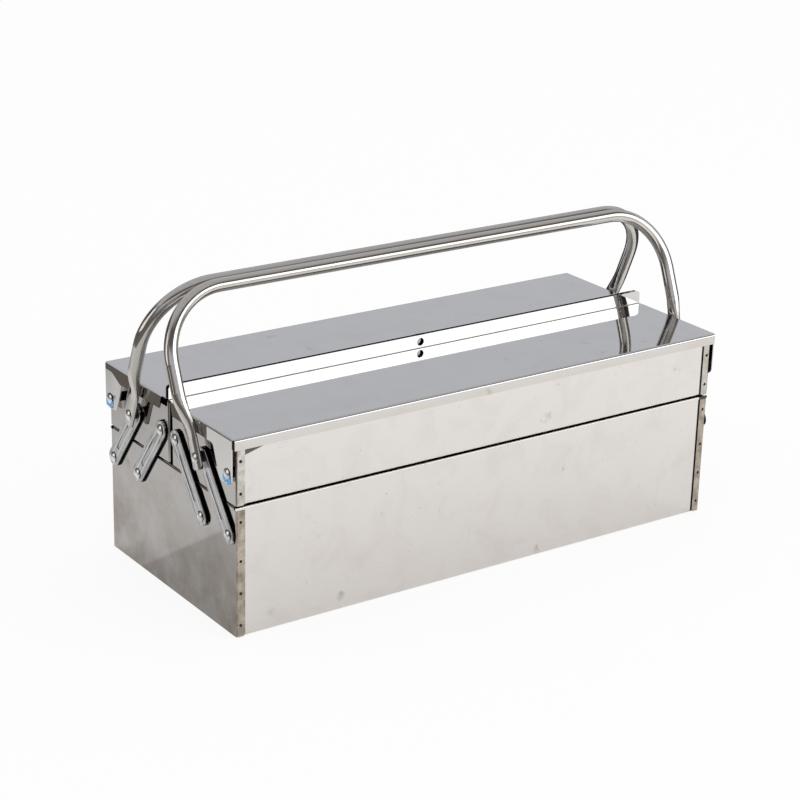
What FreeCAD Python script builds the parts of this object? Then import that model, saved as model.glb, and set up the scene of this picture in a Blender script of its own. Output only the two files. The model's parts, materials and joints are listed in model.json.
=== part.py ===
import FreeCAD, Part
import math
import os

# Folding steel tool box: a deep base, two link-hung trays, a lid on each tray, two tube handles.
# Millimetres, +Z up, the front is -Y, the origin is the middle of the underside.

V = FreeCAD.Vector
X_AXIS, Y_AXIS, Z_AXIS = V(1, 0, 0), V(0, 1, 0), V(0, 0, 1)

# Sheet and box
SHEET = 0.8              # every folded sheet
LENGTH = 430.0           # over the end plates
DEPTH = 183.5            # over the lapped strips
RIM_Z = 98.9             # crest of the base rim
TRAY_GAP = 0.6           # base rim to tray underside
LID_Z = 150.0            # top of the closed lids
LID_GAP = 1.2            # tray rim to lid underside, so the rim clears the turning lid
CENTRE_GAP = 4.4         # between the two trays
STRIP = 7.0              # width of a lapped strip
STRIP_FOOT = 0.8         # strip end above the box's own underside
STRIP_ROUND = 2.0        # corner of a strip's free edge
RIM = 2.0                # height of the folded rim
RIM_PLAY = 0.3           # strip end below the folded rim
BEND = 0.8               # inner radius of a tight bend
FOLD = 1.6               # inner radius of the shell's bottom folds
END_GAP = 0.9            # shell end to end plate, clear of the plate's bend
END_LIP = 6.0            # inward lips at the top and bottom of an end plate
LIP_SIDE = 3.4           # end-plate lip to the strip's outer face, clear of the shell's fold
WELD_R, WELD_DEEP = 4.0, 0.25   # spot-weld dimple: ball radius and depth
BASE_WELDS = (9.5, 34.0, 58.5, 88.0)
TRAY_WELDS = (109.0, 133.0)

# Links and rivets
UPPER_Z, LOWER_Z = 122.9, 76.7   # link pivots in a tray and in the base
INNER_Y = 10.9           # upper pivot of an inner link, from the middle
PITCH = 37.6             # outer pivot from inner pivot
FOOT_IN = 7.95           # outer link's lower pivot in from the strip face
LINK_W, LINK_T = 14.0, 1.6
LINK_STAND = 0.8         # link from the wall
LINK_EDGE = 0.4          # chamfer round the link's outer face
GROOVE_W, GROOVE_DEEP, GROOVE_END = 4.2, 0.5, 11.5
SHANK_R, SHOULDER_R, TAIL_R = 2.5, 3.6, 3.6
HEAD_R, HEAD_H, HEAD_EDGE = 4.0, 1.8, 0.4
LID_HEAD_H = 1.6         # lower, so that the handle's leg passes over it
HEAD_CLEAR = 0.35        # handle's leg over the lid rivet's head
TAIL_H = 1.0
RUN = 0.06               # running clearance on a shank
SEAT = 0.04              # clearance of a shank in its wall
PLAY = 0.1               # end play beside a moving plate

# Lids
LID_OVER_END, LID_OVER = 3.5, 1.7   # lid past the end plates and past the strips
LID_LIP = 8.0            # outer lip
LID_FOLD = 1.2           # inner radius of the outer lip's bend
LID_END_BEND = 0.6
LID_PIVOT_IN, LID_PIVOT_DOWN = 6.45, 26.7   # lid rivet from the strip face and from the lid top
UPRIGHT = 10.2           # inner upright lip above the lid
UPRIGHT_GAP = 2.6        # between the two upright lips
UPRIGHT_ROUND = 3.0
LOCK_R, LOCK_UP = 3.0, 4.8   # padlock hole: radius, centre above the lid
TAB_SIDE = 2.05          # tab edge behind the outer lip's face: the open corner slit
TAB_W, TAB_FOOT = 16.3, 7.5   # pivot tab: width, and foot below its rivet
TAB_SHOULDER = 8.9       # slope from the tab up to the end lip
TAB_ROUND, SHOULDER_ROUND = 5.0, 4.0
END_LIP_IN, END_LIP_SLANT = 6.5, 2.8   # end lip's inner end: from the middle, and its slant
END_LIP_DEEP, END_LIP_FALL = 10.0, 0.7   # end lip's depth, and how much deeper it is at the tab
END_LIP_ROUND = 1.5
LIP_BLANK = 14.0         # how far the end lip's sheet runs into the top panel

# Handles
TUBE = 10.0
HANDLE_H = 114.9         # pivot to bar centre, along the leg
HANDLE_CORNER = 48.5
HANDLE_GAP = 0.5         # between the two bars
FLAT_T, FLAT_W = 2.0, 14.0
FLAT_FOOT = 8.5          # flattened end below the rivet
FLAT_ROUND = 3.5
FLAT_TOP, ROUND_FROM = 14.0, 46.0   # where the flattening ends and the full tube begins

# Derived places
WALL_X = LENGTH / 2
TRAY_Z = RIM_Z + TRAY_GAP
TRAY_RIM_Z = LID_Z - SHEET - LID_GAP
LINK_X = WALL_X + LINK_STAND
LINK_OUT_X = LINK_X + LINK_T
LID_LENGTH, LID_DEPTH = LENGTH + 2 * LID_OVER_END, DEPTH + 2 * LID_OVER
LID_PIVOT_Y, LID_PIVOT_Z = DEPTH / 2 - LID_PIVOT_IN, LID_Z - LID_PIVOT_DOWN
TAB_X = LID_LENGTH / 2 - SHEET
HANDLE_X = TAB_X + SHEET + PLAY + LID_HEAD_H + HEAD_CLEAR
TUBE_X = HANDLE_X + TUBE / 2
FOOT_Y = DEPTH / 2 - FOOT_IN
UPPER_Y = {"inner": INNER_Y, "outer": INNER_Y + PITCH}
LOWER_Y = {"inner": FOOT_Y - PITCH, "outer": FOOT_Y}
TILT = math.asin((UPPER_Y["outer"] - TUBE / 2 - HANDLE_GAP / 2) / HANDLE_H)


def at(plane, u, v):
    """Point u, v of a drawing in the YZ, XZ or XY plane."""
    return {"YZ": V(0, u, v), "XZ": V(u, 0, v), "XY": V(u, v, 0)}[plane]


def fold(plane, points, radius):
    """Face of a bent sheet: points give its middle line, radius the inner radius of each bend."""
    pts = [FreeCAD.Vector(u, v, 0) for u, v in points]
    dirs = [(b - a).normalize() for a, b in zip(pts, pts[1:])]
    sides = {1: [], -1: []}
    half = SHEET / 2
    mid = radius + half
    for side, out in sides.items():
        start = pts[0]
        for i in range(len(dirs)):
            d = dirs[i]
            n = V(-d.y, d.x, 0)
            end, corner = pts[i + 1], None
            if i + 1 < len(dirs):
                e = dirs[i + 1]
                m = V(-e.y, e.x, 0)
                turn = 1 if d.x * e.y - d.y * e.x > 0 else -1
                tangent = mid * math.tan(d.getAngle(e) / 2)
                end = pts[i + 1] - d * tangent
                after = pts[i + 1] + e * tangent
                centre = end + n * (turn * mid)
                peak = centre + (pts[i + 1] - centre).normalize() * (mid - turn * side * half)
                corner = (end + n * (side * half), peak, after + m * (side * half))
            out.append((start + n * (side * half), end + n * (side * half)))
            if corner:
                out.append(corner)
                start = after
    path = sides[1] + [tuple(reversed(p)) for p in reversed(sides[-1])]
    edges = []
    for i, p in enumerate(path):
        q = [at(plane, w.x, w.y) for w in p]
        if len(q) == 2:
            edges.append(Part.LineSegment(q[0], q[1]).toShape())
        else:
            edges.append(Part.Arc(q[0], q[1], q[2]).toShape())
        nxt = path[(i + 1) % len(path)][0]
        nxt = at(plane, nxt.x, nxt.y)
        if (q[-1] - nxt).Length > 1e-6:
            edges.append(Part.LineSegment(q[-1], nxt).toShape())
    return Part.Face(Part.Wire(edges))


def rounded(plane, corners):
    """Face of a polygon whose corners are (u, v, radius)."""
    pts = [V(u, v, 0) for u, v, r in corners]
    n = len(pts)
    ends = []
    for i, (u, v, r) in enumerate(corners):
        a = (pts[i - 1] - pts[i]).normalize()
        b = (pts[(i + 1) % n] - pts[i]).normalize()
        if r == 0:
            ends.append((pts[i], None, pts[i]))
            continue
        half = a.getAngle(b) / 2
        centre = pts[i] + (a + b).normalize() * (r / math.sin(half))
        peak = centre + (pts[i] - centre).normalize() * r
        ends.append((pts[i] + a * (r / math.tan(half)), peak, pts[i] + b * (r / math.tan(half))))
    edges = []
    for i in range(n):
        a, peak, b = [at(plane, w.x, w.y) if w else None for w in ends[i]]
        if peak:
            edges.append(Part.Arc(a, peak, b).toShape())
        c = at(plane, ends[(i + 1) % n][0].x, ends[(i + 1) % n][0].y)
        edges.append(Part.LineSegment(b, c).toShape())
    return Part.Face(Part.Wire(edges))


def along(face, axis, low, high):
    """Solid of a face drawn at zero and run from low to high along an axis."""
    face = face.copy()
    face.translate(axis * low)
    return face.extrude(axis * (high - low))


def mirrored(shape, axis=X_AXIS):
    return shape.mirror(V(0, 0, 0), axis)


def turned(shape):
    """The same piece on the opposite tray: half a turn about the vertical."""
    shape = shape.copy()
    shape.rotate(V(0, 0, 0), Z_AXIS, 180)
    return shape


def joined(first, *others):
    return first.multiFuse(list(others)).removeSplitter()


def cross_pin(radius, y, z, low, high):
    """Cylinder along X."""
    return Part.makeCylinder(radius, high - low, V(low, y, z), X_AXIS)


def corner_tool(plane, axis, low, high, u, v, du, dv, r):
    """What is cut off to round a square corner at u, v; du and dv point into the sheet."""
    square = rounded(plane, [(u - du, v - dv, 0), (u + du * r, v - dv, 0),
                             (u + du * r, v + dv * r, 0), (u - du, v + dv * r, 0)])
    tool = along(square, axis, low, high)
    centre = at(plane, u + du * r, v + dv * r) + axis * low
    return tool.cut(Part.makeCylinder(r, high - low, centre, axis))


def shell(y0, y1, z0, rim):
    """Wall, bottom and wall in one sheet between strip faces y0 and y1, with folded rims."""
    inset = 1.5 * SHEET
    half = WALL_X - SHEET - END_GAP
    sheet = fold("YZ", [(y0 + inset, rim - SHEET), (y0 + inset, z0 + SHEET / 2),
                        (y1 - inset, z0 + SHEET / 2), (y1 - inset, rim - SHEET)], FOLD)
    pieces = [along(sheet, X_AXIS, -half, half)]
    for y, s in ((y0, 1), (y1, -1)):
        bead = rounded("YZ", [(y, rim - RIM, 0), (y + s * 2 * SHEET, rim - RIM, 0),
                              (y + s * 2 * SHEET, rim, SHEET - 0.01), (y, rim, SHEET - 0.01)])
        pieces.append(along(bead, X_AXIS, -WALL_X, WALL_X))
    return joined(*pieces)


def end_plate(y0, y1, z0, rim, holes, welds):
    """Right end plate: strips that lap over both walls, lips at the top and bottom, rivet holes."""
    x = WALL_X - SHEET / 2
    free = WALL_X - STRIP
    foot, top = z0 + STRIP_FOOT, rim - RIM - RIM_PLAY
    wrap = fold("XY", [(free, y0 + SHEET / 2), (x, y0 + SHEET / 2),
                       (x, y1 - SHEET / 2), (free, y1 - SHEET / 2)], BEND)
    lips = fold("XZ", [(WALL_X - END_LIP, z0 + 1.5 * SHEET), (x, z0 + 1.5 * SHEET),
                       (x, rim - SHEET / 2), (WALL_X - END_LIP, rim - SHEET / 2)], BEND)
    plate = joined(along(wrap, Z_AXIS, foot, top), along(lips, Y_AXIS, y0 + LIP_SIDE, y1 - LIP_SIDE))
    for y, s in ((y0, 1), (y1, -1)):
        low, high = sorted((y - s, y + s * 1.2 * SHEET))
        plate = plate.cut(corner_tool("XZ", Y_AXIS, low, high, free, foot, 1, 1, STRIP_ROUND))
        for z in welds:
            ball = Part.makeSphere(WELD_R, V(WALL_X - STRIP / 2, y - s * (WELD_R - WELD_DEEP), z))
            plate = plate.cut(ball)
    for y, z in holes:
        plate = plate.cut(cross_pin(SHANK_R + SEAT, y, z, WALL_X - 2 * SHEET, WALL_X + SHEET))
    return plate


def rivet(y, z, shoulder, head, head_h):
    """Right-hand rivet: tail inside the wall, shoulder outside it, shank, domed head."""
    inner = WALL_X - SHEET
    line = [(inner - TAIL_H, 0), (inner - TAIL_H, TAIL_R), (inner, TAIL_R), (inner, SHANK_R),
            (WALL_X, SHANK_R), (WALL_X, SHOULDER_R), (shoulder, SHOULDER_R), (shoulder, SHANK_R),
            (head, SHANK_R), (head, HEAD_R), (head + HEAD_EDGE, HEAD_R)]
    pts = [V(x, r, 0) for x, r in line]
    rise = head_h - HEAD_EDGE
    ball = (HEAD_R ** 2 + rise ** 2) / (2 * rise)
    tip = V(head + head_h, 0, 0)
    a = math.asin(HEAD_R / ball) / 2
    mid = V(head + head_h - ball + ball * math.cos(a), ball * math.sin(a), 0)
    edges = [Part.LineSegment(p, q).toShape() for p, q in zip(pts, pts[1:])]
    edges += [Part.Arc(pts[-1], mid, tip).toShape(), Part.LineSegment(tip, pts[0]).toShape()]
    body = Part.Face(Part.Wire(edges)).revolve(V(0, 0, 0), X_AXIS, 360)
    body.translate(V(0, y, z))
    return body


def spacer(y, z):
    """Right-hand washer that holds the handle off the link, so that its leg clears the lid rivet."""
    low, high = LINK_OUT_X + PLAY, HANDLE_X - PLAY
    return cross_pin(HEAD_R, y, z, low, high).cut(cross_pin(SHANK_R + SEAT, y, z, low, high))


def link(which):
    """Right-hand front link, from its base pivot up to its tray pivot."""
    low = V(0, -LOWER_Y[which], LOWER_Z)
    high = V(0, -UPPER_Y[which], UPPER_Z)
    span = (high - low).Length
    half = LINK_W / 2
    strip = rounded("YZ", [(-half, -half, half - 0.01), (half, -half, half - 0.01),
                           (half, span + half, half - 0.01), (-half, span + half, half - 0.01)])
    plate = along(strip, X_AXIS, 0, LINK_T)
    rim = [e for e in plate.Edges if e.BoundBox.XMin > LINK_T - 1e-4]
    plate = plate.makeChamfer(LINK_EDGE, rim)
    g = GROOVE_W / 2
    groove = rounded("YZ", [(-g, GROOVE_END, g - 0.01), (g, GROOVE_END, g - 0.01),
                            (g, span - GROOVE_END, g - 0.01), (-g, span - GROOVE_END, g - 0.01)])
    plate = plate.cut(along(groove, X_AXIS, LINK_T - GROOVE_DEEP, LINK_T + 1))
    for z in (0, span):
        plate = plate.cut(cross_pin(SHANK_R + RUN, 0, z, -1, LINK_T + 1))
    up = high - low
    plate.rotate(V(0, 0, 0), X_AXIS, -math.degrees(math.atan2(up.y, up.z)))
    plate.translate(low + X_AXIS * LINK_X)
    return plate


def lid():
    """Front lid: outer lip, flat top, upright inner lip, end lips that deepen to pivot tabs."""
    half = LID_LENGTH / 2 - LID_END_BEND - SHEET
    y_out = -(LID_DEPTH / 2 - SHEET / 2)
    y_in = -(UPRIGHT_GAP / 2 + SHEET / 2)
    top = LID_Z - SHEET / 2
    outer = fold("YZ", [(y_out, LID_Z - LID_LIP), (y_out, top), (-LID_DEPTH / 4, top)], LID_FOLD)
    inner = fold("YZ", [(-LID_DEPTH / 4, top), (y_in, top), (y_in, LID_Z + UPRIGHT)], BEND)
    panel = joined(along(outer, X_AXIS, -half, half), along(inner, X_AXIS, -half, half))
    for s in (1, -1):
        panel = panel.cut(corner_tool("XZ", Y_AXIS, -4, 0, s * half, LID_Z + UPRIGHT, -s, -1, UPRIGHT_ROUND))
    lock = V(0, y_in - 2 * SHEET, LID_Z + LOCK_UP)
    panel = panel.cut(Part.makeCylinder(LOCK_R, 4 * SHEET, lock, Y_AXIS))
    edge = -(LID_DEPTH / 2 - TAB_SIDE)
    foot = LID_PIVOT_Z - TAB_FOOT
    lip_foot = LID_Z - END_LIP_DEEP
    outline = rounded("YZ", [(-END_LIP_IN, LID_Z + SHEET, 0),
                             (-END_LIP_IN - END_LIP_SLANT, lip_foot, END_LIP_ROUND),
                             (edge + TAB_W + TAB_SHOULDER, lip_foot - END_LIP_FALL, SHOULDER_ROUND),
                             (edge + TAB_W, foot, TAB_ROUND), (edge, foot, TAB_ROUND),
                             (edge, LID_Z + SHEET, 0)])
    strip = fold("XZ", [(half - LIP_BLANK, top), (TAB_X + SHEET / 2, top),
                        (TAB_X + SHEET / 2, foot - SHEET)], LID_END_BEND)
    end = along(strip, Y_AXIS, edge, -END_LIP_IN).common(along(outline, X_AXIS, 0, LID_LENGTH))
    end = end.cut(cross_pin(SHANK_R + RUN, -LID_PIVOT_Y, LID_PIVOT_Z, WALL_X, LID_LENGTH))
    return joined(panel, end, mirrored(end))


def ring(s, width, thick, power):
    """Closed section of the handle's leg at height s, flush on its inner side at HANDLE_X."""
    n = 20
    pts = []
    for i in range(n):
        a = 2 * math.pi * i / n
        c, q = math.cos(a), math.sin(a)
        pts.append(V(HANDLE_X + thick / 2 + thick / 2 * math.copysign(abs(c) ** (2 / power), c),
                     width / 2 * math.copysign(abs(q) ** (2 / power), q), s))
    curve = Part.BSplineCurve()
    curve.interpolate(pts, PeriodicFlag=True)
    return Part.Wire(curve.toShape())


def handle():
    """Front handle: bent tube whose ends are pressed flat and drilled."""
    rings = []
    steps = 6
    for i in range(steps + 1):
        u = i / steps
        f = u * u * (3 - 2 * u)
        rings.append(ring(FLAT_TOP + (ROUND_FROM - FLAT_TOP) * u, FLAT_W + (TUBE - FLAT_W) * f,
                          FLAT_T + (TUBE - FLAT_T) * f, 2.0 + 1.6 * (1 - f)))
    leg = Part.makeLoft(rings, True, False)
    foot = Part.Face(rings[0]).extrude(V(0, 0, -FLAT_FOOT - FLAT_TOP))
    low, high = HANDLE_X - FLAT_T, HANDLE_X + 2 * FLAT_T
    for s in (1, -1):
        foot = foot.cut(corner_tool("YZ", X_AXIS, low, high, s * FLAT_W / 2, -FLAT_FOOT, -s, 1, FLAT_ROUND))
    foot = foot.cut(cross_pin(SHANK_R + RUN, 0, 0, low, high))
    end = foot.fuse(leg)
    r, x, top = HANDLE_CORNER, TUBE_X, HANDLE_H
    q = r * (1 - math.sqrt(0.5))
    path = Part.Wire([
        Part.LineSegment(V(x, 0, ROUND_FROM), V(x, 0, top - r)).toShape(),
        Part.Arc(V(x, 0, top - r), V(x - q, 0, top - q), V(x - r, 0, top)).toShape(),
        Part.LineSegment(V(x - r, 0, top), V(r - x, 0, top)).toShape(),
        Part.Arc(V(r - x, 0, top), V(q - x, 0, top - q), V(-x, 0, top - r)).toShape(),
        Part.LineSegment(V(-x, 0, top - r), V(-x, 0, ROUND_FROM)).toShape()])
    tube = path.makePipeShell([rings[-1]], True, False)
    whole = tube.multiFuse([end, mirrored(end)])
    whole.rotate(V(0, 0, 0), X_AXIS, -math.degrees(TILT))
    whole.translate(V(0, -UPPER_Y["outer"], UPPER_Z))
    return whole


def save(name, shape):
    solids = shape.Solids
    if len(solids) != 1 or not shape.isValid():
        raise ValueError("%s: %d solids, valid %s" % (name, len(solids), shape.isValid()))
    solids[0].exportStep("parts/%s.step" % name)


def both_ends(name, right):
    save(name + "_right", right)
    save(name + "_left", mirrored(right))


os.makedirs("parts", exist_ok=True)

edge_y = DEPTH / 2
lower = [(s * LOWER_Y[k], LOWER_Z) for s in (1, -1) for k in ("inner", "outer")]
save("base_shell", shell(-edge_y, edge_y, 0, RIM_Z))
both_ends("base_end", end_plate(-edge_y, edge_y, 0, RIM_Z, lower, BASE_WELDS))

upper = [(-UPPER_Y[k], UPPER_Z) for k in ("inner", "outer")] + [(-LID_PIVOT_Y, LID_PIVOT_Z)]
tray_span = (-edge_y, -CENTRE_GAP / 2, TRAY_Z, TRAY_RIM_Z)
link_head = LINK_OUT_X + PLAY
handle_head = HANDLE_X + FLAT_T + PLAY
pieces = {
    "tray_shell": shell(*tray_span),
    "lid": lid(),
    "handle": handle(),
}
paired = {
    "tray_end": end_plate(*tray_span, upper, TRAY_WELDS),
    "inner_link": link("inner"),
    "outer_link": link("outer"),
    "inner_foot_rivet": rivet(-LOWER_Y["inner"], LOWER_Z, LINK_X - PLAY, link_head, HEAD_H),
    "outer_foot_rivet": rivet(-LOWER_Y["outer"], LOWER_Z, LINK_X - PLAY, link_head, HEAD_H),
    "inner_link_rivet": rivet(-UPPER_Y["inner"], UPPER_Z, LINK_X - PLAY, link_head, HEAD_H),
    "handle_rivet": rivet(-UPPER_Y["outer"], UPPER_Z, LINK_X - PLAY, handle_head, HEAD_H),
    "handle_spacer": spacer(-UPPER_Y["outer"], UPPER_Z),
    "lid_rivet": rivet(-LID_PIVOT_Y, LID_PIVOT_Z, TAB_X - PLAY, TAB_X + SHEET + PLAY, LID_HEAD_H),
}
for name, shape in pieces.items():
    save("front_" + name, shape)
    save("back_" + name, turned(shape))
for name, shape in paired.items():
    both_ends("front_" + name, shape)
    both_ends("back_" + name, mirrored(shape, Y_AXIS))
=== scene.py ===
import json
import math

import bpy
import numpy as np
from mathutils import Matrix, Vector


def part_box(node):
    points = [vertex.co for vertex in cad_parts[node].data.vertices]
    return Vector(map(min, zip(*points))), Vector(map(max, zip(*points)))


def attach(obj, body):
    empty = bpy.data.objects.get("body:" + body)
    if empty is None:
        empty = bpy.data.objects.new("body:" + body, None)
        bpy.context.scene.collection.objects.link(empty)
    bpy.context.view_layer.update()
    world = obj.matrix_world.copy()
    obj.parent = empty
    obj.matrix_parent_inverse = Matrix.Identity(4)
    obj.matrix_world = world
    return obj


# Folding tool box in bright stainless sheet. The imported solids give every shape; this script gives them
# their finishes, adds the scraps of protective film left under the lid rivets, and sets the studio and
# the camera.

MM = 0.001
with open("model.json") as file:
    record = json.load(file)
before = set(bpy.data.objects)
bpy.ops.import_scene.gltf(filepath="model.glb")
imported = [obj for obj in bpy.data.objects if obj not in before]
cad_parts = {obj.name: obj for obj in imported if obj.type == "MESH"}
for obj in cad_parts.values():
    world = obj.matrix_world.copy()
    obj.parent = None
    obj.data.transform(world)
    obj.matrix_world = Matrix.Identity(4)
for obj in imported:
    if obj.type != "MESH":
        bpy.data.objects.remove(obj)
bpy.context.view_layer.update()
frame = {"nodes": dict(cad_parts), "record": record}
nodes = frame["nodes"]


# ---------------------------------------------------------------- colours and shader nodes

MIX, FIRST, SECOND = 0, 6, 7   # sockets of a Mix of colours: the second colour's share, and both colours
AT_0, AT_1 = 2, 3              # sockets of a Mix of numbers: the number at share 0 and at share 1
WHITE = (1, 1, 1, 1)


def linear(code):
    """sRGB hex code to linear red, green, blue and full alpha."""
    parts = [int(code[i:i + 2], 16) / 255 for i in (1, 3, 5)]
    return [v / 12.92 if v <= 0.04045 else ((v + 0.055) / 1.055) ** 2.4 for v in parts] + [1.0]


def socket(source):
    """The output that a link starts from: a socket itself, or a node's first output in use."""
    if isinstance(source, bpy.types.NodeSocket):
        return source
    return next(output for output in source.outputs if output.enabled)


def node(tree, kind, settings=None, links=None):
    """Adds one shader node; settings go to its sockets, properties or colour stops, links feed its sockets."""
    made = tree.nodes.new("ShaderNode" + kind)
    for key, value in (settings or {}).items():
        if key == "stops":
            for i, (position, colour) in enumerate(value):
                stop = made.color_ramp.elements[i] if i < 2 else made.color_ramp.elements.new(position)
                stop.position, stop.color = position, colour
        elif isinstance(key, int) or key in made.inputs:
            made.inputs[key].default_value = value
        else:
            setattr(made, key, value)
    for key, source in (links or {}).items():
        tree.links.new(socket(source), made.inputs[key])
    return made


def new_material(name):
    """An empty node material, its Principled shader and its Object coordinates."""
    material = bpy.data.materials.new(name)
    material.use_nodes = True
    tree = material.node_tree
    tree.nodes.clear()
    shader = node(tree, "BsdfPrincipled")
    node(tree, "OutputMaterial", links={"Surface": shader})
    return material, tree, shader, node(tree, "TexCoord").outputs["Object"]


def bare_metal(tree, shader, colour, rough, normal):
    """Makes the shader a metal's, with the colour, roughness and normal that feed it."""
    shader.inputs["Metallic"].default_value = 1.0
    for name, source in (("Base Color", colour), ("Roughness", rough), ("Normal", normal)):
        tree.links.new(socket(source), shader.inputs[name])


def per_mm(size):
    """Texture scale on coordinates in metres for features of that many millimetres."""
    return 1 / (size * MM)


# ---------------------------------------------------------------- places on the pieces

def turned_round(tree, place):
    """X, Y and Z on a tray or lid, its own X from end to end, and its distance from the box's middle plane.
    Front and back are one part turned round, so the back's own X counts the other way."""
    split = node(tree, "SeparateXYZ", links={"Vector": place})
    back = node(tree, "Math", {"operation": "SIGN"}, {0: split.outputs["Y"]})
    along = node(tree, "Math", {"operation": "MULTIPLY"}, {0: split.outputs["X"], 1: back})
    side = node(tree, "Math", {"operation": "ABSOLUTE"}, {0: split.outputs["Y"]})
    return split, along, side


def on_slope(tree, side, high, inwards, upwards):
    """Distances across and along a piece that goes that far inwards and upwards for each unit of its length,
    from the distance out to the side and the height."""
    across = node(tree, "Math", {"operation": "MULTIPLY", 1: upwards}, {0: side})
    across = node(tree, "Math", {"operation": "MULTIPLY_ADD", 1: inwards}, {0: high, 2: across})
    along = node(tree, "Math", {"operation": "MULTIPLY", 1: -inwards}, {0: side})
    along = node(tree, "Math", {"operation": "MULTIPLY_ADD", 1: upwards}, {0: high, 2: along})
    return across, along


def facing(tree, place, low, high, both=False):
    """Share from 0 to 1 as a face turns from looking inwards (-1) to looking out (1) from the box's ends,
    between the two bounds; both counts a face that looks inwards as one that looks out. The pieces only turn
    about the box's long axis, so the normal's X part holds in every pose."""
    normal = node(tree, "SeparateXYZ", links={"Vector": node(tree, "NewGeometry").outputs["Normal"]})
    split = node(tree, "SeparateXYZ", links={"Vector": place})
    side = node(tree, "Math", {"operation": "SIGN"}, {0: split.outputs["X"]})
    out = node(tree, "Math", {"operation": "MULTIPLY"}, {0: normal.outputs["X"], 1: side})
    if both:
        out = node(tree, "Math", {"operation": "ABSOLUTE"}, {0: out})
    return node(tree, "MapRange", {"From Min": low, "From Max": high}, {"Value": out})


# ---------------------------------------------------------------- finishes

WAVE_MM, WAVE_DEEP_MM = 80.0, 0.16   # slow waves of a thin sheet
ROLL_MM, ROLL_LONG_MM = 1.2, 150.0   # rolling lines; real ones are finer, drawn this coarse to show
ROLL_DEEP_MM = 0.004
SMEAR_MM, SMEAR_DULL = 30.0, 1.2     # wiped finger marks, and the roughness they add, times the sheet's own
SPECK_MM, SPECK_DULL = 3.0, 0.08     # dried splashes, and the roughness they add
SPECK_SHARE = 0.35                   # how far a splash tints the sheet
THUMB_MM, THUMB_SHARE = 15.0, 0.5    # thumb marks, and how far they tint it


def bright_sheet(name, tone, smear_tone, smear_share, dull):
    """Stainless sheet, cold rolled and bright annealed. It is nearly a mirror: what the eye sees are the
    reflections, bent a little by the slow waves of thin sheet, long faint rolling lines, wiped smears, dried
    splashes and a few thumb marks."""
    material, tree, shader, place = new_material(name)
    wave = node(tree, "TexNoise", {"Scale": per_mm(WAVE_MM), "Detail": 1.0, "Roughness": 0.35},
                {"Vector": place})
    along = node(tree, "Mapping", {"Scale": (per_mm(ROLL_LONG_MM), per_mm(ROLL_MM), per_mm(ROLL_MM))},
                 {"Vector": place})
    lines = node(tree, "TexNoise", {"Scale": 1.0, "Detail": 2.0}, {"Vector": along})
    smear = node(tree, "TexNoise", {"Scale": per_mm(SMEAR_MM), "Detail": 5.0, "Roughness": 0.6,
                                    "Distortion": 0.7}, {"Vector": place})
    smear = node(tree, "MapRange", {"From Min": 0.47, "From Max": 0.72}, {"Value": smear})
    speck = node(tree, "TexNoise", {"Scale": per_mm(SPECK_MM), "Detail": 3.0}, {"Vector": place})
    speck = node(tree, "MapRange", {"From Min": 0.71, "From Max": 0.78}, {"Value": speck})
    share = node(tree, "Math", {"operation": "MULTIPLY", 1: smear_share}, {0: smear})
    colour = node(tree, "Mix", {"data_type": "RGBA", FIRST: linear(tone), SECOND: linear(smear_tone)},
                  {MIX: share})
    spot = node(tree, "Math", {"operation": "MULTIPLY", 1: SPECK_SHARE}, {0: speck})
    colour = node(tree, "Mix", {"data_type": "RGBA", SECOND: linear("#8F877E")}, {MIX: spot, FIRST: colour})
    thumb = node(tree, "TexNoise", {"Scale": per_mm(THUMB_MM), "Detail": 3.0, "Distortion": 0.4},
                 {"Vector": place})
    thumb = node(tree, "MapRange", {"From Min": 0.68, "From Max": 0.80, "To Max": THUMB_SHARE},
                 {"Value": thumb})
    colour = node(tree, "Mix", {"data_type": "RGBA", SECOND: linear("#9A9188")}, {MIX: thumb, FIRST: colour})
    dulled = node(tree, "Math", {"operation": "MULTIPLY_ADD", 1: SMEAR_DULL * dull, 2: dull}, {0: smear})
    dulled = node(tree, "Math", {"operation": "MULTIPLY_ADD", 1: SPECK_DULL}, {0: speck, 2: dulled})
    slow = node(tree, "Bump", {"Distance": WAVE_DEEP_MM * MM}, {"Height": wave})
    fine = node(tree, "Bump", {"Strength": 0.5, "Distance": ROLL_DEEP_MM * MM},
                {"Height": lines, "Normal": slow})
    bare_metal(tree, shader, colour, dulled, fine)
    return material, tree, shader, place, colour, fine


LEAN = 0.3                                  # how far a bent lip or corner leans, per millimetre along it
WALL_MM = 90.0                              # the outer walls lie beyond this Y
GAP_SHADOW_FROM_MM, GAP_SHADOW_TO_MM = -206.5, -207.0   # the painted shadow beside the strip fills in between these X
PUSH_FROM_MM, PUSH_TO_MM = 180.0, 208.0     # the pushed corner runs from this X to this,
PUSH_HIGH_MM, PUSH_LOW_MM = 144.0, 136.5    # and its lower edge falls from this Z to this
PUSH_SOFT_MM = 0.4                          # its painted shade comes in over this height
PAINTED_SHADE_SHARE = 0.9                                # share of painted shade in the line and the corner


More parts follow.
